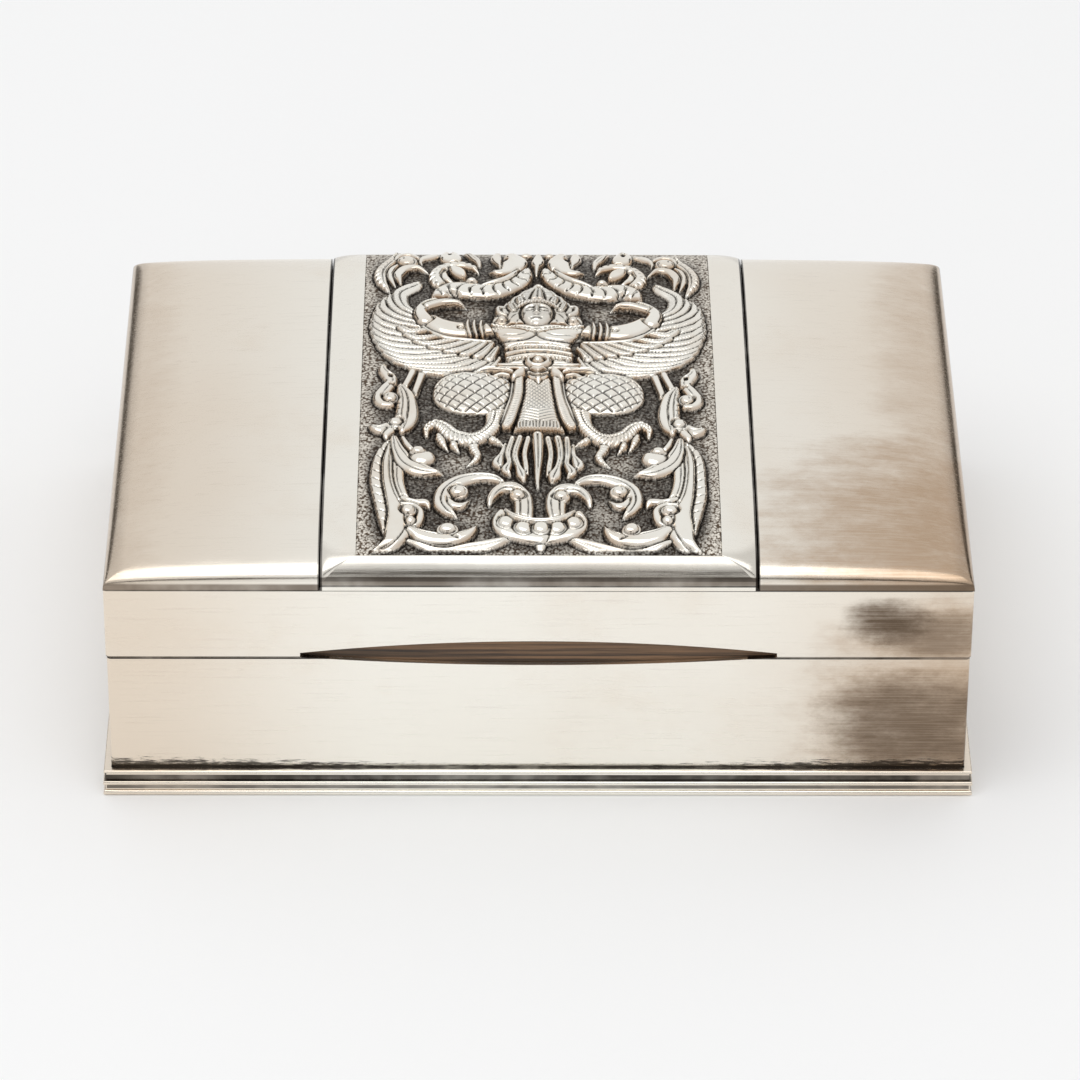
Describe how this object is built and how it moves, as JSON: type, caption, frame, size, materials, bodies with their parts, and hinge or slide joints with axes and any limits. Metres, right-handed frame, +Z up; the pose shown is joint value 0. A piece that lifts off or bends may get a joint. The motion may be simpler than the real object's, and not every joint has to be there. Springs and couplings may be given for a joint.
{
  "type": "hinged silver table box",
  "caption": "Hinged sheet-silver table box with a cedar lining, reeded plinth, thumb notch and a pillow lid whose raised strap frames a relief plaque",
  "frame": {"origin": "centre of the footprint, on the surface the box stands on", "axes": "+X along the front to the right, +Y from the front to the hinge, +Z up"},
  "size_m": [0.1698, 0.1198, 0.0598],
  "materials": {
    "silver_plain": "satin",
    "silver_relief": "satin",
    "silver_hinge": "satin",
    "cedar": "satin"
  },
  "bodies": {
    "case": {"body_walls": "silver_plain", "base_plate": "silver_plain", "plinth_front": "silver_plain", "plinth_back": "silver_plain", "plinth_left": "silver_plain", "plinth_right": "silver_plain", "case_hinge_bearer": "silver_plain", "case_knuckles": "silver_hinge", "hinge_pin": "silver_hinge", "liner_floor": "cedar", "liner_front": "cedar", "liner_back": "cedar", "liner_left": "cedar", "liner_right": "cedar", "divider": "cedar"},
    "lid": {"lid_skirt": "silver_plain", "lid_panel_left": "silver_plain", "lid_panel_right": "silver_plain", "strap_frame": "silver_plain", "relief_plaque": "silver_relief", "lid_hinge_bearer": "silver_plain", "lid_knuckles": "silver_hinge"}
  },
  "joints": [
    {"name": "lid_hinge", "type": "hinge", "parent": "case", "child": "lid", "pos_m": [0, 0.0574, 0.03207], "axis": [-1, 0, 0], "range_deg": [0, 100]}
  ]
}
